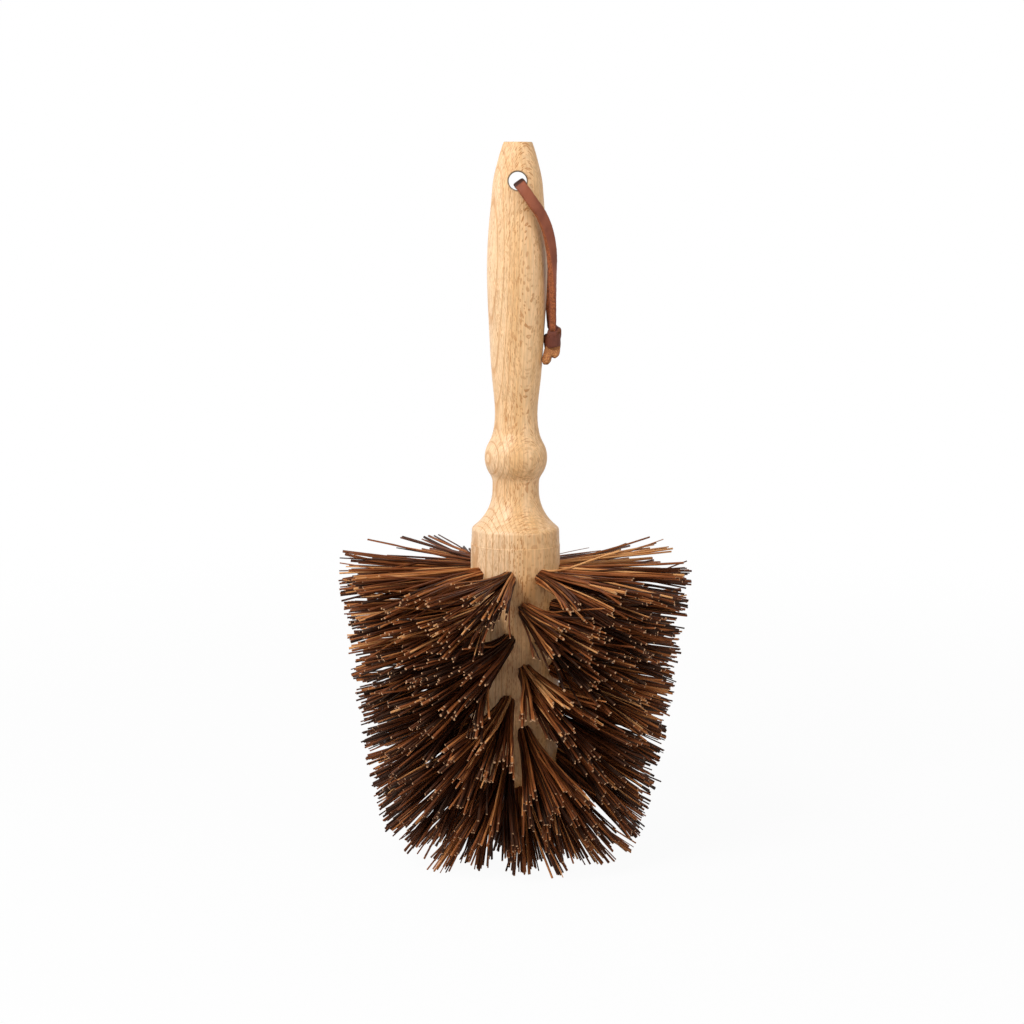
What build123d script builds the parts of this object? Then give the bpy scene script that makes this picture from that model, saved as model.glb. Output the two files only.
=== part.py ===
from build123d import *

import math
import os
import random

# Long-handled brush with palm-fibre tufts round a turned wooden core, in millimetres.
# The origin lies on the handle's axis, in the plane that the bristle tips stand on.
# Z runs up the handle. The front is -Y, and the strap hangs on the +X side.

# Core, the cylinder under the collar that holds the tufts
core_end_height = 28.8
core_radius = 18.8
core_end_rounding = 11.0

# Handle, from the shoulder up
collar_radius = 18.3
collar_foot_radius = 18.6
shoulder_rounding = 2.0
collar_step_drop = 7.8
collar_step = 0.15
cove_height = 15.1
cove_radius = 19.5
neck_radius = 9.75
neck_length = 5.0
bead_height = 16.0
bead_radius = 13.1
bead_foot_rounding = 6.0
bead_top_step = 1.6
bead_top_rounding = 15.0
waist_rise = 8.5
waist_radius = 8.95
swell_rise = 64.4
grip_radius = 12.5
nose_length = 50.1
top_face_radius = 5.85
edge_tolerance = 0.05

# Cross hole for the strap, below the handle's top end
hang_hole_diameter = 7.5
hang_hole_drop = 15.9
hang_hole_rounding = 0.5

# Outline of the grip as shares: of the way up, and of the way between two named radii
waist_to_swell_shares = ((0.25, 0.32), (0.51, 0.65), (0.765, 0.90))
swell_to_top_shares = ((0.30, 0.905), (0.56, 0.735), (0.69, 0.64), (0.82, 0.42), (0.95, 0.14))

# Rows of tufts round the core
rows = 7
tufts_per_row = 8
row_pitch = 13.1
first_row_drop = 19.9
last_row_margin = 13.6
front_turn = -9.0
top_row_dip = 4.5
last_row_dip = 36.0
dip_growth = 1.6

# Tufts in the rounded end of the core: one on the axis and a ring round it
end_ring_tufts = 6
end_ring_lean = 30.0
end_ring_turn = 15.0

# Each tuft's hole, folded root and wire anchor
hole_diameter = 5.4
hole_depth = 8.0
root_clearance = 0.1
root_stand = 0.8
anchor_thickness = 0.5
anchor_width = 1.8
anchor_bite = 0.4
anchor_lift = 0.5
anchor_clearance = 0.05

# Strands of a tuft: one in the middle and a ring round it
strand_root_width = 1.3
strand_tip_width = 1.1
strand_sink = 0.6
strand_ring = 6
strand_ring_radius = 1.7
side_fan = 24.0
rise_fan = 7.6
end_fan = 18.0
strand_bow_share = 0.02
bow_place_share = 0.5
length_spread_share = 0.05
fan_spread_share = 0.12

# Shape that the tips are trimmed to, widening from the standing plane to the top row
trim_base_radius = 47.5
trim_top_radius = 74.8
trim_top_height = 121.0
flat_cut = 0.5
longest_reach = 120.0

# Leather lace through the cross hole, and the knot that closes it
strap_diameter = 4.0
lace_width = 4.5
lace_thickness = 2.9
knot_radius = 3.3
knot_length = 8.2
knot_rounding = 2.4
knot_centre = (15.2, 0.0, 220.4)
tail_rounding = 1.2
tails = (((14.6, 0.6, 218.0), (14.2, 1.0, 212.0)), ((14.1, -2.3, 218.0), (12.7, -5.7, 209.8)))

# The lace's route from the knot, up the front, through the hole and down the back
strap_route = (
    (15.2, -2.2, 222.8),
    (15.3, -3.8, 232.4),
    (15.2, -6.0, 243.9),
    (13.8, -8.5, 257.0),
    (10.3, -12.0, 268.2),
    (5.9, -15.3, 275.3),
    (0.5, -15.8, 283.8),
    (0.3, 0.0, 282.7),
    (0.4, 15.6, 283.7),
    (5.5, 15.3, 275.2),
    (9.2, 12.4, 267.8),
    (12.3, 9.5, 256.8),
    (14.0, 7.1, 244.9),
    (14.6, 4.8, 233.4),
    (15.0, 2.4, 223.4),
)
bend_share = 0.45

# Heights that follow from the sizes above
shoulder_height = core_end_height + last_row_margin + (rows - 1) * row_pitch + first_row_drop
neck_height = shoulder_height + cove_height
bead_foot_height = neck_height + neck_length
bead_top_height = bead_foot_height + bead_height
waist_height = bead_top_height + waist_rise
swell_height = waist_height + swell_rise
overall_height = swell_height + nose_length
hang_hole_height = overall_height - hang_hole_drop
hole_radius = hole_diameter / 2
root_radius = hole_radius - root_clearance
cut_overrun = hole_diameter
dome_centre_radius = core_radius - core_end_rounding
dome_centre_height = core_end_height + core_end_rounding


def outward(azimuth, dip):
    """Unit vector away from the axis: 0 degrees is the front, and dip is degrees below level."""
    level = math.cos(math.radians(dip))
    turn = math.radians(azimuth)
    return Vector(level * math.sin(turn), -level * math.cos(turn), -math.sin(math.radians(dip)))


def sideways(azimuth):
    """Unit vector along the core's surface, level and square to outward."""
    turn = math.radians(azimuth)
    return Vector(math.cos(turn), math.sin(turn), 0)


def seat(point, azimuth, dip):
    """Plane of a tuft's seat on the core, with X level and Z out along the hole."""
    return Plane(origin=point, x_dir=sideways(azimuth), z_dir=outward(azimuth, dip))


def row_seats(row):
    """Seats of one row, the top row being 0. Each row is turned half a pitch from the last."""
    pitch = 360 / tufts_per_row
    start = front_turn + (row % 2) * pitch / 2
    height = shoulder_height - first_row_drop - row * row_pitch
    growth = (row / max(rows - 1, 1)) ** dip_growth
    dip = top_row_dip + (last_row_dip - top_row_dip) * growth
    seats = []
    for place in range(tufts_per_row):
        azimuth = start + place * pitch
        foot = outward(azimuth, 0) * core_radius
        seats.append(seat(Vector(foot.X, foot.Y, height), azimuth, dip))
    return seats


def end_seats():
    """Seats in the core's rounded end: the one on the axis, then the ring."""
    lean = math.radians(end_ring_lean)
    ring_radius = dome_centre_radius + core_end_rounding * math.sin(lean)
    ring_height = dome_centre_height - core_end_rounding * math.cos(lean)
    seats = [seat(Vector(0, 0, core_end_height), 0, 90)]
    for place in range(end_ring_tufts):
        azimuth = end_ring_turn + place * 360 / end_ring_tufts
        foot = outward(azimuth, 0) * ring_radius
        seats.append(seat(Vector(foot.X, foot.Y, ring_height), azimuth, 90 - end_ring_lean))
    return seats


def along(plane, distance):
    """The same plane moved out along its hole, or in where distance is negative."""
    return plane.offset(distance)


def anchor_plane(plane):
    """Middle of the wire anchor, near the bottom of the hole, with its span up the handle."""
    return along(plane, anchor_lift + anchor_width / 2 - hole_depth)


def trim_radius(height):
    """Radius of the trimmed bristles at a height."""
    share = math.sqrt(max(height, 0) / trim_top_height)
    return trim_base_radius + (trim_top_radius - trim_base_radius) * share


def reach(start, direction):
    """How far a strand runs before it leaves the trimmed shape."""
    near = 0.0
    far = longest_reach
    for _ in range(30):
        middle = (near + far) / 2
        point = start + direction * middle
        inside = point.Z > -flat_cut and math.hypot(point.X, point.Y) < trim_radius(point.Z)
        near, far = (middle, far) if inside else (near, middle)
    return near


def strand_path(plane, across, up, fans, chance):
    """Root, middle and tip of the strand at (across, up) in its tuft, each from -1 to 1."""
    stray = fan_spread_share * math.hypot(across, up)
    side_angle = math.radians(fans[0] * (across + chance.uniform(-1, 1) * stray))
    rise_angle = math.radians(fans[1] * (up + chance.uniform(-1, 1) * stray))
    root = along(plane, root_stand).from_local_coords(
        Vector(across * strand_ring_radius, up * strand_ring_radius, 0)
    )
    lean = plane.x_dir * math.tan(side_angle) + plane.y_dir * math.tan(rise_angle)
    direction = (plane.z_dir + lean).normalized()
    length = reach(root, direction)
    tip = root + direction * length
    if tip.Z > 0:
        tip = root + direction * length * (1 - chance.uniform(0, 1) * length_spread_share)
    middle = root + (tip - root) * bow_place_share
    bow = length * strand_bow_share * math.hypot(direction.X, direction.Y)
    return root - plane.z_dir * strand_sink, middle + Vector(0, 0, bow), tip


def tuft_paths(plane, fans, seed):
    """Paths of all the strands of one tuft. They spread as they leave, so none cross."""
    chance = random.Random(seed)
    places = [(0, 0)]
    for step in range(strand_ring):
        angle = 2 * math.pi * step / strand_ring
        places.append((math.cos(angle), math.sin(angle)))
    return [strand_path(plane, across, up, fans, chance) for across, up in places]


def strand(path, side):
    """One four-sided strand through its root, middle and tip, thinner to the tip."""
    root, middle, tip = path
    middle_width = (strand_root_width + strand_tip_width) / 2
    sections = (
        (root, middle - root, strand_root_width),
        (middle, tip - root, middle_width),
        (tip, tip - middle, strand_tip_width),
    )
    with BuildPart() as bristle:
        for point, direction, width in sections:
            with BuildSketch(Plane(origin=point, x_dir=side, z_dir=direction)):
                Rectangle(width, width)
        loft(ruled=True)
    return bristle.part


def tuft(plane, fans, seed):
    """One tuft: the folded root that fills its hole, slotted for the anchor, and its strands."""
    paths = tuft_paths(plane, fans, seed)
    strands = [strand(path, plane.x_dir) for path in paths]
    slot_width = anchor_width + 2 * anchor_clearance
    slot_thickness = anchor_thickness + 2 * anchor_clearance
    with BuildPart() as bundle:
        with BuildSketch(along(plane, root_clearance - hole_depth)):
            Circle(root_radius)
        extrude(amount=hole_depth - root_clearance + root_stand)
        with Locations(anchor_plane(plane)):
            Box(slot_thickness, hole_diameter, slot_width, mode=Mode.SUBTRACT)
        add(strands)
        if min(tip.Z for _, _, tip in paths) < 0:
            split(bisect_by=Plane.XY, keep=Keep.TOP)
    return bundle.part


def turned_edge(body, height):
    """The round edge that a corner of the turned outline leaves at a height."""
    return body.edges().filter_by_position(Axis.Z, height - edge_tolerance, height + edge_tolerance)


def save(piece, name):
    """Labels a finished piece and writes it as the node of that name."""
    piece.label = name
    export_step(piece, f"parts/{name}.step")


side_seats = [row_seats(row) for row in range(rows)]
bottom_seats = end_seats()
all_seats = [plane for seats in side_seats for plane in seats] + bottom_seats

# Handle: the turned outline, then the cross hole, the tuft holes and the anchors' slots
cove_drop = math.sqrt(cove_radius**2 - (cove_radius + neck_radius - collar_radius) ** 2)
cove_foot_height = neck_height - cove_drop
bead_middle_height = bead_foot_height + bead_height / 2
collar_step_height = shoulder_height - collar_step_drop

with BuildPart() as handle:
    with BuildSketch(Plane.XZ):
        with BuildLine():
            Line((0, core_end_height), (dome_centre_radius, core_end_height))
            dome = JernArc((dome_centre_radius, core_end_height), (1, 0), core_end_rounding, 90)
            core_top = (core_radius, shoulder_height - first_row_drop)
            Line(dome @ 1, core_top)
            Polyline(
                core_top,
                (collar_foot_radius + collar_step, collar_step_height - collar_step),
                (collar_foot_radius, collar_step_height),
                (collar_radius, cove_foot_height),
            )
            cove = RadiusArc(
                (collar_radius, cove_foot_height), (neck_radius, neck_height), cove_radius
            )
            Line(cove @ 1, (neck_radius, bead_foot_height))
            bead = ThreePointArc(
                (neck_radius, bead_foot_height),
                (bead_radius, bead_middle_height),
                (waist_radius + bead_top_step, bead_top_height),
            )
            waist = [
                (
                    waist_radius + share * (grip_radius - waist_radius),
                    waist_height + rise * swell_rise,
                )
                for rise, share in waist_to_swell_shares
            ]
            nose = [
                (
                    top_face_radius + share * (grip_radius - top_face_radius),
                    swell_height + rise * nose_length,
                )
                for rise, share in swell_to_top_shares
            ]
            grip = Spline(
                bead @ 1,
                (waist_radius, waist_height),
                *waist,
                (grip_radius, swell_height),
                *nose,
                (top_face_radius, overall_height),
            )
            Line(grip @ 1, (0, overall_height))
            Line((0, overall_height), (0, core_end_height))
        make_face()
    revolve(axis=Axis.Z)
    fillet(turned_edge(handle, cove_foot_height), radius=shoulder_rounding)
    fillet(turned_edge(handle, bead_foot_height), radius=bead_foot_rounding)
    fillet(turned_edge(handle, bead_top_height), radius=bead_top_rounding)
    with BuildSketch(Plane.XZ):
        with Locations((0, hang_hole_height)):
            Circle(hang_hole_diameter / 2)
    extrude(amount=grip_radius, both=True, mode=Mode.SUBTRACT)
    fillet(handle.edges(Select.LAST), radius=hang_hole_rounding)
    with Locations(*[along(plane, cut_overrun) for plane in all_seats]):
        Hole(hole_radius, depth=hole_depth + cut_overrun)
    with Locations(*[anchor_plane(plane) for plane in all_seats]):
        Box(
            anchor_thickness + 2 * anchor_clearance,
            hole_diameter + 2 * (anchor_bite + anchor_clearance),
            anchor_width + 2 * anchor_clearance,
            mode=Mode.SUBTRACT,
        )

# Anchors: flat wires across the bottoms of the holes, their ends set in the wood
with BuildPart() as tuft_anchors:
    with Locations(*[anchor_plane(plane) for plane in all_seats]):
        Box(anchor_thickness, hole_diameter + 2 * anchor_bite, anchor_width)

# Tufts of the core's rounded end, which the brush stands on
end_tufts = [tuft(plane, (end_fan, end_fan), place) for place, plane in enumerate(bottom_seats)]

# Strap: the lace as a round tube of the same section, its knot and its two tails
corner_radii = []
for before, corner, after in zip(strap_route, strap_route[1:], strap_route[2:]):
    run_in = Vector(corner) - Vector(before)
    run_out = Vector(after) - Vector(corner)
    half_turn = math.radians(run_in.get_angle(run_out) / 2)
    corner_radii.append(bend_share * min(run_in.length, run_out.length) / math.tan(half_turn))
print("strap radii", [round(radius, 1) for radius in corner_radii])

with BuildPart() as strap_tube:
    with BuildLine():
        route = FilletPolyline(*strap_route, radius=corner_radii)
    with BuildSketch(Plane(origin=route @ 0, z_dir=route % 0)):
        Circle(strap_diameter / 2)
    sweep()
section = math.pi * strap_diameter**2 / 4
print("strap length", round(route.length, 1))
print("strap volume", round(strap_tube.part.volume), "section x length", round(section * route.length))

with BuildPart() as hanging_strap:
    with Locations(knot_centre):
        Cylinder(knot_radius, knot_length)
    fillet(hanging_strap.edges().filter_by(GeomType.CIRCLE), radius=knot_rounding)
    for tail_top, tail_end in tails:
        direction = Vector(tail_end) - Vector(tail_top)
        with BuildSketch(Plane(origin=tail_top, x_dir=(1, -1, 0), z_dir=direction)):
            RectangleRounded(lace_width, lace_thickness, tail_rounding)
        extrude(amount=direction.length)
    add(strap_tube.part)

os.makedirs("parts", exist_ok=True)
save(handle.part, "handle")
save(tuft_anchors.part, "tuft_anchors")
save(hanging_strap.part, "hanging_strap")
save(Compound(children=end_tufts), "end_tufts")
for row, seats in enumerate(side_seats):
    for place, plane in enumerate(seats):
        seed = (row + 1) * tufts_per_row + place
        save(tuft(plane, (side_fan, rise_fan), seed), f"tuft_row{row + 1}_{place + 1}")
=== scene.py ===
import logging
import math
from collections.abc import Sequence
from dataclasses import dataclass, field
from enum import Enum
from functools import cache

import bpy
import numpy as np
from bpy.types import bpy_prop_collection, Material, Mesh, Node, NodeSocket, NodeTree, Object
from mathutils import Matrix, Vector
from numpy.random import default_rng, Generator


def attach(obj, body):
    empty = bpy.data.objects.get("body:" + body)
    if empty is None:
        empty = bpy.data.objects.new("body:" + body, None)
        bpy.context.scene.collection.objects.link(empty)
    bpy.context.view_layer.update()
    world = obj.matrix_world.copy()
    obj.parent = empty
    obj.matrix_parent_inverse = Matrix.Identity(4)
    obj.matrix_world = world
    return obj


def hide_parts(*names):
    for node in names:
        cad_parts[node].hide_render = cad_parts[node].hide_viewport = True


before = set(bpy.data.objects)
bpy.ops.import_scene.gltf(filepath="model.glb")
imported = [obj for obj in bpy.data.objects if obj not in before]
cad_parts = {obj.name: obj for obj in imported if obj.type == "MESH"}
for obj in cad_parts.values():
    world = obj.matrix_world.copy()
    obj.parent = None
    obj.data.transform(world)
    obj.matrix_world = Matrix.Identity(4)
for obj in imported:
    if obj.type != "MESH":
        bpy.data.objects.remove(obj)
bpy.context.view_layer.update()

log = logging.getLogger("brush")

MM = 0.001
NEARLY_ONE = 0.999
IN_MM = (1 / MM, 1 / MM, 1 / MM)
NOISE_SPAN = (0.3, 0.7)

Colour = tuple[float, float, float]
Triple = tuple[float, float, float]
Pair = tuple[float, float]


class Lie(Enum):
    """Which way a tuft's fibres fan out."""

    ROUND_THE_CORE = "side"
    UNDER_THE_CORE = "end"


class Leather(Enum):
    """The looks of the lace along its way."""

    LACE = "lace"
    KNOT = "knot"
    TAIL = "tail"


class NodeSheet:
    """A node tree that a finish or a shared effect is drawn in."""

    def __init__(self, tree: NodeTree) -> None:
        """Takes the tree of a material, a world or a group."""
        self.tree = tree

    def add(self, kind: str, **settings: object) -> Node:
        """Adds a node.

        Args:
            kind: The shader node's type name, without ShaderNode before it.
            settings: Properties of the node by name.

        Returns:
            The new node.
        """
        node = self.tree.nodes.new(f"ShaderNode{kind}")
        for name, value in settings.items():
            setattr(node, name, value)
        return node

    def put(self, socket: NodeSocket, value: object) -> None:
        """Links an output to an input, or sets the input's own value.

        Args:
            socket: The input.
            value: An output socket, a number, a vector, or a colour without its alpha.
        """
        if isinstance(value, NodeSocket):
            self.tree.links.new(value, socket)
        elif socket.type == "RGBA":
            socket.default_value = (*value, 1.0)
        else:
            socket.default_value = value

    def fill(self, node: Node, *values: object, **named: object) -> Node:
        """Puts values into a node's inputs.

        Args:
            node: The node.
            values: The values of its first inputs, in their order.
            named: Other inputs by name, with underscores for spaces, and their values.

        Returns:
            The same node.
        """
        for socket, value in zip(node.inputs, values):
            self.put(socket, value)
        for name, value in named.items():
            self.put(node.inputs[name.replace("_", " ")], value)
        return node

    def math(self, operation: str, first: object, second: object = 0.0) -> NodeSocket:
        """Works out one number from two by a Math node's operation."""
        return self.fill(self.add("Math", operation=operation), first, second).outputs[0]

    def span(
        self, value: object, low: object, high: object, start: object = 0.0, end: object = 1.0
    ) -> NodeSocket:
        """Maps a number smoothly: low and below give start, high and above give end."""
        node = self.add("MapRange", interpolation_type="SMOOTHSTEP")
        return self.fill(node, value, low, high, start, end).outputs["Result"]

    def blend(self, share: object, first: object, second: object, how: str = "MIX") -> NodeSocket:
        """Blends two colours.

        Args:
            share: How much of the second colour there is.
            first: The first colour.
            second: The second colour.
            how: The blend type.

        Returns:
            The blended colour.
        """
        node = self.add("Mix", data_type="RGBA", blend_type=how)
        self.put(node.inputs[0], share)
        self.put(node.inputs[6], first)
        self.put(node.inputs[7], second)
        return node.outputs[2]

    def place(self, spot: object, scale: Triple, turn: float = 0.0) -> NodeSocket:
        """Turns a pattern's coordinates by degrees about Z, then scales them each way."""
        turned = self.fill(self.add("Mapping"), spot, Rotation=(0.0, 0.0, math.radians(turn)))
        return self.fill(self.add("Mapping"), turned.outputs[0], Scale=scale).outputs[0]

    def axes(self, vector: object) -> bpy_prop_collection:
        """Splits a vector into its X, Y and Z."""
        return self.fill(self.add("SeparateXYZ"), vector).outputs

    def vector_math(self, operation: str, first: object, second: object = (0.0, 0.0, 0.0)) -> Node:
        """Works out a vector or a number from two vectors by a Vector Math node's operation."""
        return self.fill(self.add("VectorMath", operation=operation), first, second)

    def effect(self, group: NodeTree, spot: object, scale: Triple, **values: object) -> NodeSocket:
        """Places a shared effect, whose marks are scaled to so many to a unit each way."""
        node = self.add("Group", node_tree=group)
        return self.fill(node, self.place(spot, scale), **values).outputs["Value"]

    def bump(self, shader: Node, height: object, strength: float, depth: float) -> None:
        """Gives a shader a relief with heights from 0 to 1, which stand for a depth in metres."""
        node = self.fill(self.add("Bump"), Strength=strength, Distance=depth, Height=height)
        self.put(shader.inputs["Normal"], node.outputs[0])


def start_group(name: str, **inputs: float) -> tuple[NodeSheet, bpy_prop_collection]:
    """Starts the node group of a shared effect, which puts out one number.

    Args:
        name: The group's name.
        inputs: Its numbers with their starting values, after Vector.

    Returns:
        A sheet to draw the group in, and the sockets of what it is given.
    """
    sheet = NodeSheet(bpy.data.node_groups.new(name, "ShaderNodeTree"))
    new_socket = sheet.tree.interface.new_socket
    new_socket("Vector", in_out="INPUT", socket_type="NodeSocketVector")
    for label, value in inputs.items():
        socket = new_socket(label, in_out="INPUT", socket_type="NodeSocketFloat")
        socket.default_value = value
    new_socket("Value", in_out="OUTPUT", socket_type="NodeSocketFloat")
    return sheet, sheet.tree.nodes.new("NodeGroupInput").outputs


@cache
def mottle() -> NodeTree:
    """Builds the shared effect of a soft uneven tone from noise.

    Returns:
        The group, which puts out a number between Low and High.
    """
    sheet, given = start_group("mottle", Detail=3.0, Low=0.0, High=1.0)
    noise = sheet.add("TexNoise")
    sheet.fill(noise, Vector=given["Vector"], Scale=1.0, Detail=given["Detail"])
    tone = sheet.span(noise.outputs[0], *NOISE_SPAN, given["Low"], given["High"])
    sheet.fill(sheet.tree.nodes.new("NodeGroupOutput"), tone)
    return sheet.tree


@cache
def spindles() -> NodeTree:
    """Builds the shared effect of scattered marks, such as rays in wood or pores in leather.

    Returns:
        The group, which puts out a mask of whole or hollow marks.
    """
    sheet, given = start_group("spindles", Size=0.3, Edge=0.1, Hollow=0.0)
    cells = sheet.add("TexVoronoi", feature="F1")
    sheet.fill(cells, Vector=given["Vector"], Scale=1.0, Randomness=1.0)
    spread = sheet.math("MULTIPLY", cells.outputs["Color"], given["Size"])
    reach = sheet.math("ADD", spread, given["Edge"])
    mask = sheet.span(cells.outputs["Distance"], spread, reach, 1.0, 0.0)
    core = sheet.span(cells.outputs["Distance"], 0.0, spread, 1.0, 0.0)
    left = sheet.math("SUBTRACT", 1.0, sheet.math("MULTIPLY", core, given["Hollow"]))
    mask = sheet.math("MULTIPLY", mask, left)
    sheet.fill(sheet.tree.nodes.new("NodeGroupOutput"), mask)
    return sheet.tree


@dataclass(frozen=True)
class BeechFinish:
    """Turned beech: faint growth rings, fine dark rays and the wood's soft bands.

    Heights and pitches are in millimetres, and scales count marks to a millimetre: square
    to the rings, along them, and up the grain. Each kind of ray has a scale, the width of
    its soft edge and how hollow it is.
    """

    pale: Colour = (0.775, 0.490, 0.248)
    warm: Colour = (0.715, 0.418, 0.182)
    band_scale: Triple = (0.30, 0.22, 0.02)
    # painted sheen: a paler, whiter wash on the handle's left side, where the lamps' highlight
    # falls
    painted_sheen: Colour = (0.87, 0.64, 0.415)
    painted_sheen_depths: Pair = (5.0, 13.0)
    painted_sheen_share: float = 0.5
    late_wood: Colour = (0.56, 0.270, 0.095)
    ring_turn: float = -65.0
    ring_pitch: float = 1.75
    ring_start: float = 0.371
    ring_lean: float = 0.017
    lean_height: float = 250.0
    wander_scale: Triple = (0.04, 0.04, 0.009)
    wander: float = 0.09
    late_shares: Pair = (0.70, 0.93)
    ring_end_shares: Pair = (0.94, 1.0)
    ring_depths: Pair = (-3.0, 7.0)
    ring_strengths: Pair = (0.22, 0.72)
    streak_scale: Triple = (1.1, 2.0, 0.15)
    streak_tones: Pair = (0.85, 1.08)
    ray: Colour = (0.42, 0.165, 0.035)
    ray_size: float = 0.40
    ray_kinds: tuple[tuple[Triple, float, float], ...] = (
        ((0.24, 3.6, 0.46), 0.14, 0.7), ((0.24, 4.2, 0.24), 0.12, 0.0),
    )
    patch_scale: Triple = (0.12, 0.4, 0.05)
    patch_shares: Pair = (0.35, 1.0)
    # painted shade: the wood below the collar is darkened where the tufts shade it (the wire's
    # real stain shares this name)
    stain_and_shade: Colour = (0.84, 0.72, 0.58)
    shade_heights: Pair = (116.0, 124.0)
    # painted shade: the dark ring of the cross hole's wall and rim
    rim: Colour = (0.12, 0.085, 0.045)
    hole_shade_share: float = 0.9
    hole_shade_radii: Pair = (3.85, 4.6)
    hole_height: float = 284.1
    roughness: Pair = (0.44, 0.54)
    lathe_scale: Triple = (8.0, 8.0, 2600.0)
    lathe_share: float = 0.35
    relief: float = 0.25
    relief_depth: float = 0.1 * MM

    def build(self) -> Material:
        """Draws the wood.

        Returns:
            The material.
        """
        material, sheet, shader = new_material("oiled_beech")
        spot = sheet.add("TexCoord").outputs["Object"]
        grain = sheet.place(spot, IN_MM, 90.0 - self.ring_turn)
        depth, _, height = sheet.axes(grain)
        bands = sheet.effect(mottle(), grain, self.band_scale, Detail=3.0)
        colour = sheet.blend(bands, self.pale, self.warm)
        # painted sheen: the colour grows paler towards the handle's left side
        sheen_mask = sheet.span(depth, *self.painted_sheen_depths, 0.0, self.painted_sheen_share)
        colour = sheet.blend(sheen_mask, colour, self.painted_sheen)
        rings = self.draw_rings(sheet, grain)
        colour = sheet.blend(rings, colour, self.late_wood)
        low, high = self.streak_tones
        streaks = sheet.effect(mottle(), grain, self.streak_scale, Detail=4.0, Low=low, High=high)
        colour = sheet.blend(1.0, colour, streaks, "MULTIPLY")
        rays = self.draw_rays(sheet, grain)
        colour = sheet.blend(rays, colour, self.ray)
        # painted shade on the wood between the tufts, below the collar
        stain_and_shade = sheet.span(height, *self.shade_heights, 1.0, 0.0)
        colour = sheet.blend(stain_and_shade, colour, self.stain_and_shade, "MULTIPLY")
        # painted shade in and round the cross hole
        colour = sheet.blend(self.draw_hole_shade(sheet, spot), colour, self.rim)
        sheet.fill(shader, Base_Color=colour)
        sheet.fill(shader, Roughness=sheet.span(bands, 0.0, 1.0, *self.roughness))
        lathe = sheet.effect(mottle(), spot, self.lathe_scale, Detail=2.0)
        relief = sheet.math("SUBTRACT", sheet.math("MULTIPLY", lathe, self.lathe_share), rays)
        sheet.bump(shader, relief, self.relief, self.relief_depth)
        return material

    def draw_rings(self, sheet: NodeSheet, grain: NodeSocket) -> NodeSocket:
        """Draws the growth rings as nearly flat layers, dark where each ends.

        Args:
            sheet: The wood's sheet.
            grain: Coordinates in millimetres, with X square to the rings.

        Returns:
            The late wood's mask.
        """
        wander = sheet.effect(
            mottle(), grain, self.wander_scale, Detail=1.0,
            Low=-self.wander, High=self.wander,
        )
        depth, _, height = sheet.axes(grain)
        rise = sheet.math("SUBTRACT", height, self.lean_height)
        leant = sheet.math("ADD", depth, sheet.math("MULTIPLY", rise, self.ring_lean))
        layer = sheet.math("DIVIDE", leant, self.ring_pitch)
        layer = sheet.math("ADD", sheet.math("ADD", layer, wander), self.ring_start)
        share = sheet.math("FRACT", layer)
        late = sheet.span(share, *self.late_shares)
        end = sheet.span(share, *self.ring_end_shares, 1.0, 0.0)
        strength = sheet.span(depth, *self.ring_depths, *self.ring_strengths)
        return sheet.math("MULTIPLY", sheet.math("MULTIPLY", late, end), strength)

    def draw_rays(self, sheet: NodeSheet, grain: NodeSocket) -> NodeSocket:
        """Draws the rays' dark flecks, some whole and some hollow, thicker in patches.

        Args:
            sheet: The wood's sheet.
            grain: Coordinates in millimetres, with X square to the rings.

        Returns:
            The rays' mask.
        """
        long_rays, short_rays = (
            sheet.effect(spindles(), grain, scale, Size=self.ray_size, Edge=edge, Hollow=hollow)
            for scale, edge, hollow in self.ray_kinds
        )
        low, high = self.patch_shares
        patches = sheet.effect(mottle(), grain, self.patch_scale, Detail=2.0, Low=low, High=high)
        return sheet.math("MULTIPLY", sheet.math("MAXIMUM", short_rays, long_rays), patches)

    def draw_hole_shade(self, sheet: NodeSheet, spot: NodeSocket) -> NodeSocket:
        """Draws painted shade on the wood in and round the cross hole, where its wall falls in
        shadow.

        Args:
            sheet: The wood's sheet.
            spot: The object's own coordinates, in metres.

        Returns:
            The mask.
        """
        foot = (0.0, 0.0, -self.hole_height)
        place = sheet.fill(sheet.add("Mapping"), spot, foot, Scale=(1 / MM, 0.0, 1 / MM))
        away = sheet.vector_math("LENGTH", place.outputs[0]).outputs["Value"]
        return sheet.span(away, *self.hole_shade_radii, self.hole_shade_share, 0.0)


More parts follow.
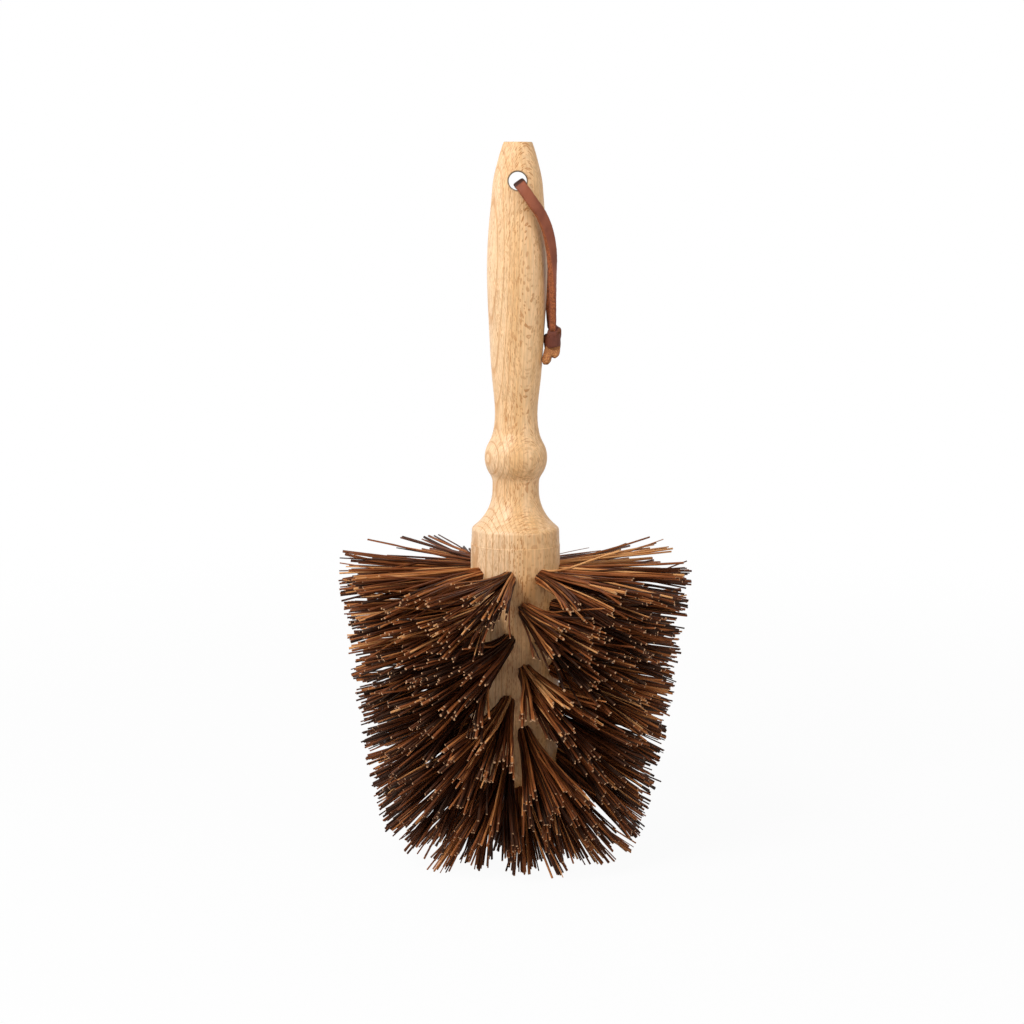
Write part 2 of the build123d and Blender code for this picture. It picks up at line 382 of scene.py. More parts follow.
@dataclass(frozen=True)
class FibreFinish:
    """Palm fibre: stiff, from near black to orange-brown, with pale cut ends."""

    tones: tuple[tuple[float, Colour], ...] = (
        (0.0, (0.012, 0.004, 0.0025)),
        (0.30, (0.055, 0.0135, 0.0045)),
        (0.58, (0.200, 0.055, 0.016)),
        (0.82, (0.430, 0.155, 0.045)),
        (1.0, (0.66, 0.33, 0.13)),
    )
    cut_end: Colour = (0.46, 0.26, 0.14)
    cut_places: Pair = (0.990, 0.999)
    streak_scale: Triple = (5.0, 4.0, 1.0)
    streak_tones: Pair = (-0.16, 0.16)
    streak_step: float = 37.0
    roughness: Pair = (0.42, 0.60)
    gloss: float = 0.20
    sheen: Colour = (1.0, 0.62, 0.38)
    relief: float = 0.3
    relief_depth: float = 0.1 * MM

    def build(self) -> Material:
        """Draws the fibre, with other streaks on each by its tone.

        Returns:
            The material.
        """
        material, sheet, shader = new_material("palm_fibre")
        tone = sheet.add("Attribute", attribute_name="tone").outputs["Fac"]
        way = sheet.add("UVMap", uv_map="UVMap").outputs[0]
        shift = sheet.add("CombineXYZ")
        sheet.fill(shift, X=sheet.math("MULTIPLY", tone, self.streak_step), Y=tone, Z=0.0)
        moved = sheet.vector_math("ADD", way, shift.outputs[0]).outputs[0]
        low, high = self.streak_tones
        streaks = sheet.effect(mottle(), moved, self.streak_scale, Detail=3.0, Low=low, High=high)
        ramp = sheet.add("ValToRGB")
        sheet.fill(ramp, sheet.math("ADD", tone, streaks))
        points = ramp.color_ramp.elements
        while len(points) < len(self.tones):
            points.new(0.5)
        for point, (place, colour) in zip(points, self.tones):
            point.position = place
            point.color = (*colour, 1.0)
        cut = sheet.span(sheet.axes(way)[1], *self.cut_places)
        sheet.fill(shader, Base_Color=sheet.blend(cut, ramp.outputs[0], self.cut_end))
        sheet.fill(shader, Roughness=sheet.span(streaks, low, high, *self.roughness))
        sheet.fill(shader, Specular_IOR_Level=self.gloss, Specular_Tint=self.sheen)
        sheet.bump(shader, streaks, self.relief, self.relief_depth)
        return material


@dataclass(frozen=True)
class LeatherFinish:
    """Leather lace: a smooth grain side, rough cut edges and painted shade where it bends into the
    hole.

    Scales count marks to a metre, and the fold's way and height are in millimetres.
    """

    look: Leather
    face: Colour
    face_dark: Colour
    edge: Colour
    edge_dark: Colour
    nap: float = 0.0
    cloud_scale: Triple = (160.0, 160.0, 90.0)
    speckle_scale: Triple = (1900.0, 1900.0, 1500.0)
    speckle_share: float = 0.25
    edge_shares: Pair = (0.55, 0.8)
    # painted shade: darkens the lace's upper side where it bends into the cross hole
    fold_shade: Colour = (0.045, 0.016, 0.011)
    fold_way: Triple = (-0.6, 0.0, 0.8)
    fold_height: float = 225.3
    fold_rises: Pair = (0.3, 1.0)
    fold_unevenness: float = 0.3
    roughness: Pair = (0.58, 0.90)
    gloss: float = 0.16
    pore_scale: Triple = (2200.0, 2200.0, 2200.0)
    pore_size: float = 0.3
    pore_share: float = 0.3
    nap_shares: Pair = (0.15, 1.0)
    relief: float = 0.6
    relief_depth: float = 0.2 * MM

    def build(self) -> Material:
        """Draws the leather.

        Returns:
            The material.
        """
        material, sheet, shader = new_material(f"leather_{self.look.value}")
        spot = sheet.add("TexCoord").outputs["Object"]
        cut = sheet.add("Attribute", attribute_name="cut_edge").outputs["Fac"]
        cloud = sheet.effect(mottle(), spot, self.cloud_scale, Detail=4.0)
        speckle = sheet.effect(mottle(), spot, self.speckle_scale, Detail=3.0)
        face = sheet.blend(cloud, self.face_dark, self.face)
        edge = sheet.blend(speckle, self.edge_dark, self.edge)
        rough = sheet.math("ADD", cut, sheet.math("MULTIPLY", speckle, self.speckle_share))
        mask = sheet.span(sheet.math("ADD", rough, self.nap), *self.edge_shares)
        # painted shade on the lace's bend into the cross hole, ragged by the speckle
        toward = sheet.vector_math("DOT_PRODUCT", sheet.place(spot, IN_MM), self.fold_way)
        above = sheet.math("SUBTRACT", toward.outputs["Value"], self.fold_height)
        uneven = sheet.math("MULTIPLY", speckle, self.fold_unevenness)
        fold_shade_mask = sheet.span(sheet.math("ADD", above, uneven), *self.fold_rises)
        colour = sheet.blend(fold_shade_mask, sheet.blend(mask, face, edge), self.fold_shade)
        sheet.fill(shader, Base_Color=colour, Specular_IOR_Level=self.gloss)
        sheet.fill(shader, Roughness=sheet.span(mask, 0.0, 1.0, *self.roughness))
        pores = sheet.effect(
            spindles(), spot, self.pore_scale,
            Size=self.pore_size, Edge=self.pore_size,
        )
        nap = sheet.math("MULTIPLY", speckle, sheet.span(mask, 0.0, 1.0, *self.nap_shares))
        relief = sheet.math("SUBTRACT", nap, sheet.math("MULTIPLY", pores, self.pore_share))
        sheet.bump(shader, relief, self.relief, self.relief_depth)
        return material


@dataclass(frozen=True)
class WireFinish:
    """Drawn steel wire, dull and a little stained."""

    bright: Colour = (0.62, 0.60, 0.56)
    dull: Colour = (0.36, 0.33, 0.29)
    stain_scale: Triple = (900.0, 900.0, 300.0)
    roughness: Pair = (0.30, 0.55)

    def build(self) -> Material:
        """Draws the wire.

        Returns:
            The material.
        """
        material, sheet, shader = new_material("anchor_wire")
        spot = sheet.add("TexCoord").outputs["Object"]
        stain_and_shade = sheet.effect(mottle(), spot, self.stain_scale, Detail=3.0)
        sheet.fill(shader, Base_Color=sheet.blend(stain_and_shade, self.bright, self.dull), Metallic=1.0)
        sheet.fill(shader, Roughness=sheet.span(stain_and_shade, 0.0, 1.0, *self.roughness))
        return material


def new_material(name: str) -> tuple[Material, NodeSheet, Node]:
    """Starts a material with its shader.

    Args:
        name: The material's name.

    Returns:
        The material, a sheet of its nodes and its Principled shader.
    """
    material = bpy.data.materials.new(name)
    material.use_nodes = True
    material.node_tree.nodes.clear()
    sheet = NodeSheet(material.node_tree)
    shader = sheet.add("BsdfPrincipled")
    sheet.fill(sheet.add("OutputMaterial"), shader.outputs[0])
    return material, sheet, shader


def dress(piece: Object, material: Material) -> None:
    """Gives a whole piece one material."""
    piece.data.materials.clear()
    piece.data.materials.append(material)


def add_object(name: str, data: object) -> Object:
    """Adds an object to the scene.

    Args:
        name: Its name.
        data: Its mesh, curve, lamp or camera.

    Returns:
        The object.
    """
    added = bpy.data.objects.new(name, data)
    bpy.context.collection.objects.link(added)
    return added


def deselect() -> None:
    """Leaves edit mode and selects nothing."""
    if bpy.context.mode != "OBJECT":
        bpy.ops.object.mode_set(mode="OBJECT")
    bpy.ops.object.select_all(action="DESELECT")


def outward(azimuth: float, dip: float) -> Vector:
    """Gives the way out from the handle's axis.

    Args:
        azimuth: Degrees round the axis, from the front towards +X.
        dip: Degrees below level.

    Returns:
        A unit vector.
    """
    level = math.cos(math.radians(dip))
    turn = math.radians(azimuth)
    return Vector((level * math.sin(turn), -level * math.cos(turn), -math.sin(math.radians(dip))))


@dataclass(frozen=True)
class Seat:
    """Where a tuft stands in the core, which way it points, and its lean, fan share and tone,
    which carries its row's painted shade.
    """

    node: str
    point: Vector
    out: Vector
    across: Vector
    lie: Lie
    lean: float = 0.0
    tone: float = -0.04
    fan: float = 1.0


@dataclass
class KeptPiece:
    """A hard piece that keeps its CAD shape and only gets a finish."""

    node: str
    finish: BeechFinish | WireFinish

    def dress(self) -> None:
        """Gives the piece its finish."""
        dress(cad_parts[self.node], self.finish.build())
        log.info("dressed %s", self.node)


@dataclass
class FibreTufts:
    """Every tuft of palm fibre, each one a piece of its own, cut from one modelled fibre."""

    rows: int = 7
    tufts_per_row: int = 8
    row_pitch: float = 13.1 * MM
    top_row_height: float = 121.0 * MM
    front_turn: float = -9.0
    top_row_dip: float = 4.5
    last_row_dip: float = 36.0
    dip_growth: float = 1.6
    core_radius: float = 18.8 * MM
    core_end_height: float = 28.8 * MM
    core_end_rounding: float = 11.0 * MM
    end_ring_tufts: int = 6
    end_ring_lean: float = 30.0
    end_ring_turn: float = 15.0
    trim_base_radius: float = 47.5 * MM
    trim_top_radius: float = 74.8 * MM
    trim_top_height: float = 121.0 * MM
    fibres: int = 68
    fibre_sides: int = 5
    ring_shares: tuple[float, ...] = (0.08, 0.20, 0.36, 0.52, 0.68, 0.84)
    bend_shares: tuple[float, ...] = (0.14, 0.32, 0.50, 0.67, 0.84, 1.0)
    tip_share: float = 0.9
    thin: float = 0.24 * MM
    usual: float = 0.44 * MM
    thick: float = 0.76 * MM
    bundle_radius: float = 2.35 * MM
    root_flare: float = 1.4
    root_depth: float = 5.0 * MM
    root_stand: float = 1.6 * MM
    side_fan: float = 26.0
    rise_fan: float = 8.0
    end_fan: float = 19.0
    fan_gain: float = 1.1
    side_jitter: float = 0.06
    rise_jitter: float = 0.12
    turn_jitter: float = 0.3
    front_fan_share: float = 0.72
    parting: tuple[float, ...] = (-13.0, 12.0, -15.0, 3.0, -9.0, 6.0, -2.0)
    lean_spread: float = 2.5
    locks: int = 8
    lock_share: float = 0.72
    lock_jitter: float = 0.16
    # painted shade: the lower rows darker, as the rows above shade them
    row_shades: tuple[float, ...] = (0.04, 0.0, -0.04, -0.05, -0.06, -0.07, -0.10)
    # painted light: a tuft's upper fibres lighter, as if lit from above
    upper_light: float = 0.12
    patch_tone: float = 0.13
    patch_beat: float = 3.2
    stray_share: float = 0.03
    stray_lean: float = 16.0
    stray_rise_shares: Pair = (-0.8, 1.0)
    guide_place: float = 0.28
    guide_way_share: float = 0.45
    trim_spread: float = 0.11
    end_trim_spread: float = 0.05
    trim_power: float = 1.5
    longest: float = 120.0 * MM
    reach_steps: int = 24
    wave: float = 0.0065
    wave_beats: Pair = (1.0, 3.2)
    kink_share: float = 0.09
    kink_places: Pair = (0.35, 0.8)
    kink: float = 20.0
    flatness: Pair = (0.55, 1.0)
    tone_shape: Pair = (1.15, 1.8)
    tone_spread: float = 0.10
    side_uv: float = 0.985
    first_seed: int = 100
    finish: FibreFinish = field(default_factory=FibreFinish)
    pieces: list[Object] = field(default_factory=list)

    def side_seats(self) -> list[Seat]:
        """Finds the tufts' places round the core.

        Returns:
            The seats, row by row from the top.
        """
        seats = []
        pitch = 360 / self.tufts_per_row
        for row in range(self.rows):
            growth = (row / (self.rows - 1)) ** self.dip_growth
            dip = self.top_row_dip + (self.last_row_dip - self.top_row_dip) * growth
            for place in range(self.tufts_per_row):
                azimuth = self.front_turn + (row % 2) * pitch / 2 + place * pitch
                foot = outward(azimuth, 0.0) * self.core_radius
                foot.z = self.top_row_height - row * self.row_pitch
                lean, fan = (0.0, 1.0) if place else (self.parting[row], self.front_fan_share)
                seats.append(
                    Seat(
                        f"tuft_row{row + 1}_{place + 1}", foot, outward(azimuth, dip),
                        outward(azimuth + 90.0, 0.0), Lie.ROUND_THE_CORE,
                        lean, self.row_shades[row], fan,
                    )
                )
        return seats

    def end_seats(self) -> list[Seat]:
        """Finds the tufts' places in the core's rounded end.

        Returns:
            The middle seat, then the ring.
        """
        lean = math.radians(self.end_ring_lean)
        flat = self.core_radius - self.core_end_rounding
        ring_radius = flat + self.core_end_rounding * math.sin(lean)
        ring_height = self.core_end_height + self.core_end_rounding * (1 - math.cos(lean))
        middle = Vector((0.0, 0.0, self.core_end_height))
        node, below = "end_tufts", Lie.UNDER_THE_CORE
        seats = [Seat(node, middle, outward(0.0, 90.0), outward(90.0, 0.0), below)]
        for place in range(self.end_ring_tufts):
            azimuth = self.end_ring_turn + place * 360 / self.end_ring_tufts
            foot = outward(azimuth, 0.0) * ring_radius
            foot.z = ring_height
            out = outward(azimuth, 90.0 - self.end_ring_lean)
            seats.append(Seat(node, foot, out, outward(azimuth + 90.0, 0.0), below))
        return seats

    def model_fibre(self) -> Object:
        """Models one straight fibre of unit length and radius, which all the others copy.

        Returns:
            The fibre, from Z 0 at its root to Z 1 at its cut end.
        """
        deselect()
        bpy.ops.mesh.primitive_cylinder_add(
            vertices=self.fibre_sides, radius=1.0, depth=1.0, location=(0.0, 0.0, 0.5)
        )
        bpy.ops.object.transform_apply(location=True, rotation=True, scale=True)
        fibre = bpy.context.object
        bpy.ops.object.mode_set(mode="EDIT")
        for share in self.ring_shares:
            bpy.ops.mesh.select_all(action="SELECT")
            bpy.ops.mesh.bisect(plane_co=(0.0, 0.0, share), plane_no=(0.0, 0.0, 1.0))
        bpy.ops.mesh.select_all(action="DESELECT")
        bpy.ops.object.mode_set(mode="OBJECT")
        for vertex in fibre.data.vertices:
            vertex.select = vertex.co.z > NEARLY_ONE
        bpy.ops.object.mode_set(mode="EDIT")
        share = self.tip_share
        bpy.ops.transform.resize(value=(share, share, 1.0), center_override=(0.0, 0.0, 1.0))
        deselect()
        return fibre

    def reach(self, start: np.ndarray, way: np.ndarray) -> np.ndarray:
        """Finds how far each fibre runs before it leaves the trimmed shape.

        Args:
            start: Where the fibres leave the wood.
            way: Their unit directions.

        Returns:
            The lengths.
        """
        rim_growth = self.trim_top_radius - self.trim_base_radius
        near = np.zeros(len(start))
        far = np.full(len(start), self.longest)
        for _ in range(self.reach_steps):
            middle = (near + far) / 2
            spot = start + way * middle[:, None]
            share = np.sqrt(np.maximum(spot[:, 2], 0.0) / self.trim_top_height)
            rim = self.trim_base_radius + rim_growth * share
            inside = (spot[:, 2] > self.usual) & (np.hypot(spot[:, 0], spot[:, 1]) < rim)
            near = np.where(inside, middle, near)
            far = np.where(inside, far, middle)
        return near

    def paths(self, seat: Seat, chance: Generator) -> np.ndarray:
        """Lays out a tuft's fibres, which leave their hole together and fan out in locks.

        Args:
            seat: The tuft's place.
            chance: The tuft's own random numbers.

        Returns:
            Points by fibre, station and axis.
        """
        count = self.fibres
        out = np.array(seat.out)
        across = np.array(seat.across)
        up = np.cross(out, across)
        order = np.arange(count)
        jitter = chance.uniform(-self.turn_jitter, self.turn_jitter, count)
        turn = order * math.pi * (3 - math.sqrt(5)) + jitter
        spread = np.sqrt((order + 0.5) / count)
        aside = spread * np.cos(turn)
        above = spread * np.sin(turn)
        on_side = seat.lie is Lie.ROUND_THE_CORE
        stray = (chance.random(count) < self.stray_share) * self.stray_lean
        heads = chance.choice(count, self.locks, replace=False)
        away = np.hypot(aside[:, None] - aside[heads], above[:, None] - above[heads])
        lock = np.argmin(away, axis=1)
        shifts = chance.normal(0.0, self.lock_jitter, (2, self.locks))
        drawn = []
        for place, shift in zip((aside, above), shifts):
            middle = np.bincount(lock, place) / np.bincount(lock)
            own = place * (1 - self.lock_share)
            drawn.append(own + (middle + shift)[lock] * self.lock_share)
        side = drawn[0] * self.fan_gain + chance.normal(0.0, self.side_jitter, count)
        side *= self.side_fan if on_side else self.end_fan
        rise = drawn[1] * self.fan_gain + chance.normal(0.0, self.rise_jitter, count)
        rise *= self.rise_fan if on_side else self.end_fan
        lean = seat.lean + chance.normal(0.0, self.lean_spread)
        side = np.radians(seat.fan * side + lean + stray * chance.uniform(-1.0, 1.0, count))
        rise = np.radians(rise + stray * chance.uniform(*self.stray_rise_shares, count))
        way = out + np.outer(np.tan(side), across) + np.outer(np.tan(rise), up)
        way /= np.linalg.norm(way, axis=1)[:, None]
        around = self.bundle_radius * (np.outer(aside, across) + np.outer(above, up))
        base = np.array(seat.point) + around
        leave = np.array(seat.point) + around * self.root_flare + out * self.root_stand
        short = self.trim_spread if on_side else self.end_trim_spread
        length = self.reach(leave, way) * (1 - short * chance.random(count) ** self.trim_power)
        tip = leave + way * length[:, None]
        bent = out * (1 - self.guide_way_share) + way * self.guide_way_share
        guide = leave + bent * self.guide_place * length[:, None]
        share = np.array(self.bend_shares)[None, :, None]
        bend = (
            leave[:, None] * (1 - share) ** 2
            + guide[:, None] * 2 * share * (1 - share)
            + tip[:, None] * share**2
        )
        bend += self.sway(share[0, :, 0], length, across, up, chance)
        bend[:, :, 2] = np.maximum(bend[:, :, 2], self.usual)
        return np.concatenate([(base - out * self.root_depth)[:, None], leave[:, None], bend], 1)

    def sway(
        self, share: np.ndarray, length: np.ndarray, across: np.ndarray, up: np.ndarray,
        chance: Generator,
    ) -> np.ndarray:
        """Works out the fibres' waves and kinks.

        Args:
            share: The stations, as shares of the length.
            length: The fibres' lengths.
            across: The tuft's level direction.
            up: The direction square to it and to the hole.
            chance: The tuft's own random numbers.

        Returns:
            Offsets by fibre, station and axis.
        """
        count = len(length)
        offset = np.zeros((count, len(share), 3))
        for axis in (across, up):
            swing = chance.normal(0.0, self.wave, count) * length
            beat = chance.uniform(*self.wave_beats, count)
            start = chance.uniform(0.0, math.tau, count)
            wave = np.sin(np.outer(beat, share) * math.pi + start[:, None])
            offset += (swing[:, None] * wave * share)[:, :, None] * axis
            kinked = chance.random(count) < self.kink_share
            angle = np.radians(chance.uniform(-self.kink, self.kink, count)) * kinked
            place = chance.uniform(*self.kink_places, count)
            past = np.maximum(share[None, :] - place[:, None], 0.0)
            offset += (np.tan(angle)[:, None] * past * length[:, None])[:, :, None] * axis
        return offset

    def stamp(self, name: str, fibre: Object, seat: Seat, chance: Generator) -> Object:
        """Copies the modelled fibre along every path of a tuft.

        Args:
            name: The tuft's name.
            fibre: The modelled fibre.
            seat: The tuft's place.
            chance: The tuft's own random numbers.

        Returns:
            The tuft.
        """
        path = self.paths(seat, chance)
        model = fibre.data
        corner = np.array([vertex.co for vertex in model.vertices])
        heights = np.unique(corner[:, 2].round(4))
        station = np.searchsorted(heights, corner[:, 2].round(4))
        tangent = np.gradient(path, axis=1)
        tangent /= np.linalg.norm(tangent, axis=2)[:, :, None]
        level = np.array(seat.across)
        normal = level - tangent * (tangent @ level)[:, :, None]
        normal /= np.linalg.norm(normal, axis=2)[:, :, None]
        other = np.cross(tangent, normal)
        count = self.fibres
        radius = chance.triangular(self.thin, self.usual, self.thick, count)
        turn = chance.uniform(0.0, math.tau, count)
        flat = chance.uniform(*self.flatness, count)
        wide = radius[:, None] * corner[None, :, 0]
        deep = (radius * flat)[:, None] * corner[None, :, 1]
        first = wide * np.cos(turn)[:, None] - deep * np.sin(turn)[:, None]
        second = wide * np.sin(turn)[:, None] + deep * np.cos(turn)[:, None]
        points = (
            path[:, station]
            + first[:, :, None] * normal[:, station]
            + second[:, :, None] * other[:, station]
        )
        faces = [tuple(face.vertices) for face in model.polygons]
        size = len(corner)
        copies = [
            [index + step * size for index in face] for step in range(count) for face in faces
        ]
        mesh = bpy.data.meshes.new(name)
        mesh.from_pydata(points.reshape(-1, 3).tolist(), [], copies)
        smooth = [len(face) == 4 for face in faces]
        mesh.polygons.foreach_set("use_smooth", smooth * count)
        mesh.uv_layers.new(name="UVMap").data.foreach_set("uv", self.unwrap(model) * count)
        shade = chance.beta(*self.tone_shape, count) + self.tone_shift(seat, path[:, 0], chance)
        tones = np.repeat(np.clip(shade, 0.0, 1.0), size)
        mesh.attributes.new("tone", "FLOAT", "POINT").data.foreach_set("value", tones)
        tuft = add_object(name, mesh)
        return tuft

    def tone_shift(self, seat: Seat, roots: np.ndarray, chance: Generator) -> np.ndarray:
        """Works out how much lighter or darker a tuft's fibres are, neighbours alike, with the
        row's painted shade and painted light on the tuft's upper fibres.

        Args:
            seat: The tuft's place.
            roots: The fibres' root points.
            chance: The tuft's own random numbers.

        Returns:
            The shift of each fibre's tone.
        """
        across = np.array(seat.across)
        place = (roots - roots.mean(axis=0)) / self.bundle_radius
        aside = place @ across
        above = place @ np.cross(np.array(seat.out), across)
        start = chance.uniform(0.0, math.tau, 2)
        patch = np.sin(self.patch_beat * aside + start[0])
        patch *= np.sin(self.patch_beat * above + start[1])
        own = chance.normal(seat.tone, self.tone_spread)
        # painted light on the upper fibres, with the row's painted shade in own
        return own + self.upper_light * above + self.patch_tone * patch

    def unwrap(self, model: Mesh) -> list[float]:
        """Gives the fibre's UVs, with U round it and V along it, up to 1 at its cut end.

        Args:
            model: The modelled fibre's mesh.

        Returns:
            U and V for each corner of each face.
        """
        places = []
        for face in model.polygons:
            corners = [model.vertices[index].co for index in face.vertices]
            angles = [math.atan2(corner.y, corner.x) / math.tau % 1.0 for corner in corners]
            capped = len({corner.z for corner in corners}) == 1
            for corner, angle in zip(corners, angles):
                wrapped = angle + 1.0 if max(angles) - angle > 0.5 else angle
                side = [wrapped, corner.z * self.side_uv]
                places += [0.5, round(corner.z)] if capped else side
        return places

    def build(self) -> None:
        """Builds and dresses every tuft."""
        material = self.finish.build()
        fibre = self.model_fibre()
        for number, seat in enumerate(self.side_seats() + self.end_seats()):
            name = f"fibres_{seat.node}"
            if seat.lie is Lie.UNDER_THE_CORE:
                name = f"fibres_end_{number - self.rows * self.tufts_per_row + 1}"
            chance = default_rng(self.first_seed + number)
            tuft = self.stamp(name, fibre, seat, chance)
            dress(tuft, material)
            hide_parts(seat.node)
            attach(tuft, "brush")
            self.pieces.append(tuft)
        bpy.data.objects.remove(fibre, do_unlink=True)
        log.info("built %d tufts of %d fibres", len(self.pieces), self.fibres)


@dataclass(frozen=True)
class Run:
    """One run of the lace, and where its grain side faces at even steps along it."""

    name: str
    route: Sequence[Triple]
    ways: Sequence[Triple]
    size: Pair
    unevenness: float
    end_shares: tuple[float, ...] = (0.72, 0.93)
    unit: float = MM


@dataclass
class HangingStrap:
    """The leather lace through the cross hole, its knot and its two tails."""

    width: float = 4.5 * MM
    thickness: float = 2.9 * MM
    length: float = 160.0 * MM
    sides: int = 20
    ring_spacing: float = 0.7 * MM
    squareness: float = 0.42
    cut_edge_share: float = 0.82
    unevenness: float = 0.25 * MM
    lump_size: float = 1.6 * MM
    line_steps: int = 24
    route: tuple[Triple, ...] = (
        (0.0149, -0.0022, 0.2228), (0.0149, -0.0038, 0.2324), (0.0146, -0.0062, 0.2445),
        (0.0141, -0.0087, 0.2575), (0.0110, -0.0120, 0.2688), (0.0060, -0.0150, 0.2757),
        (0.0007, -0.0146, 0.2831), (0.0006, 0.0000, 0.2827), (0.0013, 0.0145, 0.2834),
        (0.0050, 0.0150, 0.2757), (0.0080, 0.0132, 0.2680), (0.0103, 0.0110, 0.2570),
        (0.0113, 0.0086, 0.2455), (0.0133, 0.0056, 0.2345), (0.0142, 0.0024, 0.2234),
    )
    ways: tuple[Triple, ...] = (
        (1.0, 0.0, 0.0), (1.0, 0.0, 0.0), (0.97, -0.25, 0.0), (0.75, -0.66, 0.0),
        (0.40, -0.91, 0.1), (0.10, -0.95, 0.3), (-0.45, -0.60, 0.66), (-0.60, 0.0, 0.80),
        (-0.45, 0.60, 0.66), (0.10, 0.95, 0.3), (0.40, 0.91, 0.1), (0.75, 0.66, 0.0),
        (0.97, 0.25, 0.0), (1.0, 0.0, 0.0), (1.0, 0.0, 0.0),
    )
    lace_finish: LeatherFinish = LeatherFinish(
        Leather.LACE, (0.290, 0.088, 0.045), (0.190, 0.055, 0.030),
        (0.42, 0.125, 0.045), (0.16, 0.050, 0.022),
    )
    knot_finish: LeatherFinish = LeatherFinish(
        Leather.KNOT, (0.170, 0.050, 0.029), (0.095, 0.027, 0.017),
        (0.30, 0.100, 0.045), (0.10, 0.034, 0.018),
    )
    tail_finish: LeatherFinish = LeatherFinish(
        Leather.TAIL, (0.40, 0.150, 0.060), (0.26, 0.085, 0.036),
        (0.56, 0.245, 0.085), (0.17, 0.060, 0.024), 0.6,
    )
    turn_centre: Triple = (14.9, 0.0, 218.5)
    turn_radii: Pair = (2.55, 3.1)
    turn_angles: Pair = (-250.0, 175.0)
    turn_steps: int = 15
    turn_lean: float = 0.368
    turn_rise: float = 0.828
    turn_end: float = 0.15
    turn_end_growth: float = 0.20
    turn_size: Pair = (5.4 * MM, 2.0 * MM)
    turn_unevenness: float = 0.4 * MM
    fold: Run = Run(
        "knot_fold",
        (
            (14.3, -2.9, 219.7), (14.8, -2.6, 222.2), (15.9, -1.6, 223.8), (16.7, 0.4, 223.4),
            (16.9, 2.0, 221.2), (16.3, 2.6, 219.2),
        ),
        (
            (0.0, -1.0, 0.0), (-0.2, -1.0, 0.3), (0.0, -0.6, 1.0), (0.8, 0.0, 0.8),
            (1.0, 0.5, 0.2), (1.0, 1.0, 0.0),
        ),
        (4.2 * MM, 2.4 * MM),
        0.4 * MM,
    )
    tails: tuple[Run, ...] = (
        Run(
            "tail_front",
            (
                (14.6, -1.0, 223.0), (14.4, -0.6, 219.5), (13.6, -1.0, 215.6), (12.7, -2.8, 212.2),
                (12.0, -4.2, 208.9),
            ),
            (
                (1.0, -0.2, 0.0), (0.9, -0.4, 0.0), (0.3, -0.9, 0.0), (-0.3, -1.0, 0.0),
                (-0.6, -1.0, 0.3),
            ),
            (3.6 * MM, 2.6 * MM),
            0.5 * MM,
            (0.55, 0.82, 0.95),
        ),
        Run(
            "tail_back",
            (
                (15.0, 1.9, 223.0), (15.0, 0.6, 219.5), (15.5, -0.4, 216.4), (15.3, -1.6, 213.6),
                (14.7, -1.9, 211.6),
            ),
            (
                (1.0, 0.2, 0.0), (0.7, -0.7, 0.0), (0.3, -1.0, 0.0), (0.15, -1.0, 0.0),
                (0.0, -1.0, 0.2),
            ),
            (5.4 * MM, 2.6 * MM),
            0.5 * MM,
            (0.55, 0.82, 0.95),
        ),
    )

    def draw_line(self, name: str, route: list[Vector]) -> list[Vector]:
        """Draws a smooth line through a route's control points.

        Args:
            name: The line's name.
            route: The control points.

        Returns:
            Points along the smooth line, about evenly spaced.
        """
        curve = bpy.data.curves.new(name, "CURVE")
        curve.dimensions = "3D"
        curve.resolution_u = self.line_steps
        spline = curve.splines.new("NURBS")
        spline.points.add(len(route) - 1)
        for point, place in zip(spline.points, route):
            point.co = (*place, 1.0)
        spline.order_u = 3
        spline.use_endpoint_u = True
        line = add_object(name, curve)
        mesh = bpy.data.meshes.new_from_object(line)
        points = [vertex.co.copy() for vertex in mesh.vertices]
        bpy.data.objects.remove(line, do_unlink=True)
        bpy.data.curves.remove(curve)
        bpy.data.meshes.remove(mesh)
        return points

    def sweep(self, run: Run) -> tuple[Object, list[Vector]]:
        """Runs the lace's flat section along a run's smooth line, and makes it uneven.

        Args:
            run: The run.

        Returns:
            The piece, and the points that it follows.
        """
        route = [Vector(place) * run.unit for place in run.route]
        line = self.draw_line(f"{run.name}_line", route)
        ways = np.array([Vector(way) for way in run.ways])
        raw = np.array(line)
        along = np.concatenate([[0.0], np.cumsum(np.linalg.norm(np.diff(raw, axis=0), axis=1))])
        count = int(along[-1] / self.ring_spacing)
        steps = np.linspace(0.0, along[-1], count)
        keys = np.linspace(0.0, along[-1], len(ways))
        path = np.stack([np.interp(steps, along, raw[:, axis]) for axis in range(3)], 1)
        toward = np.stack([np.interp(steps, keys, ways[:, axis]) for axis in range(3)], 1)
        tangent = np.gradient(path, axis=0)
        tangent /= np.linalg.norm(tangent, axis=1)[:, None]
        toward -= tangent * np.sum(toward * tangent, axis=1)[:, None]
        toward /= np.linalg.norm(toward, axis=1)[:, None]
        aside = np.cross(tangent, toward)
        angle = np.arange(self.sides) / self.sides * math.tau
        level, steep = np.cos(angle), np.sin(angle)
        wide = np.sign(level) * np.abs(level) ** self.squareness * run.size[0] / 2
        deep = np.sign(steep) * np.abs(steep) ** self.squareness * run.size[1] / 2
        grow = np.ones(count)
        for step, share in enumerate(run.end_shares):
            grow[[step, -1 - step]] = share
        points = path[:, None] + grow[:, None, None] * (
            wide[None, :, None] * aside[:, None] + deep[None, :, None] * toward[:, None]
        )
        side = np.arange(self.sides)
        after = (side + 1) % self.sides
        ring = np.arange(count - 1)[:, None] * self.sides
        following = ring + self.sides
        quads = np.stack([ring + side, ring + after, following + after, following + side], 2)
        quads = quads.reshape(-1, 4).tolist()
        ends = [side[::-1].tolist(), (side + (count - 1) * self.sides).tolist()]
        mesh = bpy.data.meshes.new(run.name)
        mesh.from_pydata(points.reshape(-1, 3).tolist(), [], quads + ends)
